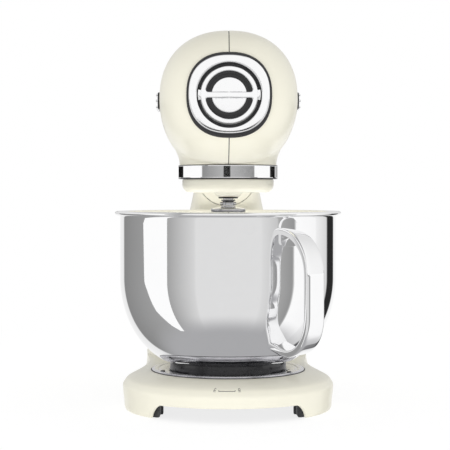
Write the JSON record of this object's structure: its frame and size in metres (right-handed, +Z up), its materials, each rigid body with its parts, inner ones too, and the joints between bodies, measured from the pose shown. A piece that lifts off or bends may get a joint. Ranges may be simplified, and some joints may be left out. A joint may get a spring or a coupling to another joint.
{
  "type": "stand mixer",
  "caption": "Tilt-head stand mixer with a cream enamel body, planetary balloon whisk, polished steel bowl with a strap handle, chrome trim and a front attachment hub.",
  "frame": {"origin": "middle of the whole mixer's footprint, on the worktop", "axes": "+Z up, -Y towards the front of the mixer, where the attachment hub is, +X to the right of someone who faces the back"},
  "size_m": [0.2272, 0.4238, 0.3848],
  "materials": {
    "cream_paint": "gloss",
    "polished_steel": "polished",
    "chrome_trim": "polished",
    "machined_steel": "machined",
    "cast_frame": "as cast",
    "bronze": "machined",
    "black_plastic": "gloss",
    "dark_plastic": "matte",
    "rubber": "matte",
    "board_green": "matte",
    "laminated_iron": "laminated"
  },
  "bodies": {
    "base": {"base_casting": "cream_paint", "bottom_plate": "dark_plastic", "bottom_screws": "machined_steel", "rubber_feet": "rubber", "bowl_seat_ring": "chrome_trim", "seat_screws": "machined_steel", "column": "cream_paint", "hinge_cradle": "cast_frame", "hinge_pin": "machined_steel", "cord_gland": "dark_plastic", "button_bezel": "chrome_trim", "tilt_switch": "dark_plastic"},
    "head": {"head_shell_left": "cream_paint", "head_shell_right": "cream_paint", "gear_frame": "cast_frame", "hub_bezel": "chrome_trim", "attachment_hub": "cast_frame", "trim_left": "chrome_trim", "trim_right": "chrome_trim", "neck_band": "chrome_trim", "ring_gear": "machined_steel", "shaft_bearings": "machined_steel", "motor_stator": "laminated_iron", "motor_brackets": "cast_frame", "brush_holders": "bronze", "control_board": "board_green", "speed_plate": "chrome_trim", "speed_potentiometer": "dark_plastic", "latch_strike": "machined_steel"},
    "rotor": {"motor_rotor": "machined_steel", "motor_fan": "dark_plastic", "worm": "machined_steel"},
    "layshaft": {"layshaft": "machined_steel", "worm_wheel": "bronze", "lay_pinion": "machined_steel"},
    "planetary": {"planet_carrier": "cast_frame", "planetary_cover": "cream_paint", "main_shaft": "machined_steel", "centre_gear": "machined_steel", "bevel_gear": "machined_steel", "beater_bush": "bronze"},
    "beater": {"beater_shaft": "polished_steel", "planet_gear": "machined_steel", "drive_pin": "polished_steel", "splash_washer": "rubber", "whisk_hub": "polished_steel", "whisk_wires": "polished_steel"},
    "hub_drive": {"hub_drive": "machined_steel"},
    "hub_cap": {"hub_cap": "chrome_trim"},
    "speed_knob": {"speed_knob": "chrome_trim"},
    "release_button": {"release_button": "chrome_trim", "button_spring": "machined_steel"},
    "bowl": {"bowl": "polished_steel", "bowl_handle": "polished_steel", "bowl_foot": "black_plastic"}
  },
  "joints": [
    {"name": "head_tilt", "type": "hinge", "parent": "base", "child": "head", "pos_m": [0, 0.1539, 0.222], "axis": [-1, 0, 0], "range_deg": [0, 28]},
    {"name": "planetary_spin", "type": "hinge", "parent": "head", "child": "planetary", "pos_m": [0, -0.0741, 0.25], "axis": [0, 0, 1], "continuous": true},
    {"name": "beater_spin", "type": "hinge", "parent": "planetary", "child": "beater", "pos_m": [0, -0.0981, 0.22], "axis": [0, 0, 1], "continuous": true},
    {"name": "layshaft_spin", "type": "hinge", "parent": "head", "child": "layshaft", "pos_m": [-0.0275, -0.04437, 0.28], "axis": [0, 0, 1], "continuous": true},
    {"name": "rotor_spin", "type": "hinge", "parent": "head", "child": "rotor", "pos_m": [0, 0.0059, 0.3066], "axis": [0, 1, 0], "continuous": true},
    {"name": "hub_drive_spin", "type": "hinge", "parent": "head", "child": "hub_drive", "pos_m": [0, -0.1341, 0.3066], "axis": [0, 1, 0], "continuous": true},
    {"name": "hub_cap_twist", "type": "hinge", "parent": "head", "child": "hub_cap", "pos_m": [0, -0.1861, 0.3066], "axis": [0, -1, 0], "range_deg": [0, 30]},
    {"name": "speed_slide", "type": "slide", "parent": "head", "child": "speed_knob", "axis": [0, 0.9993, -0.0373], "range_m": [0, 0.05]},
    {"name": "release_press", "type": "slide", "parent": "base", "child": "release_button", "axis": [0, -1, 0], "range_m": [0, 0.004], "stiffness_N_per_m": 800, "springref_m": -0.004, "deforming": ["button_spring"]},
    {"name": "bowl_twist", "type": "hinge", "parent": "base", "child": "bowl", "pos_m": [0, -0.0741, 0.0487], "axis": [0, 0, 1], "range_deg": [0, 25]}
  ],
  "couplings": [
    {"joint": "beater_spin", "follows": "planetary_spin", "ratio": -2.7143},
    {"joint": "layshaft_spin", "follows": "planetary_spin", "ratio": -2.8571},
    {"joint": "rotor_spin", "follows": "planetary_spin", "ratio": 74.286},
    {"joint": "hub_drive_spin", "follows": "planetary_spin", "ratio": -1}
  ]
}
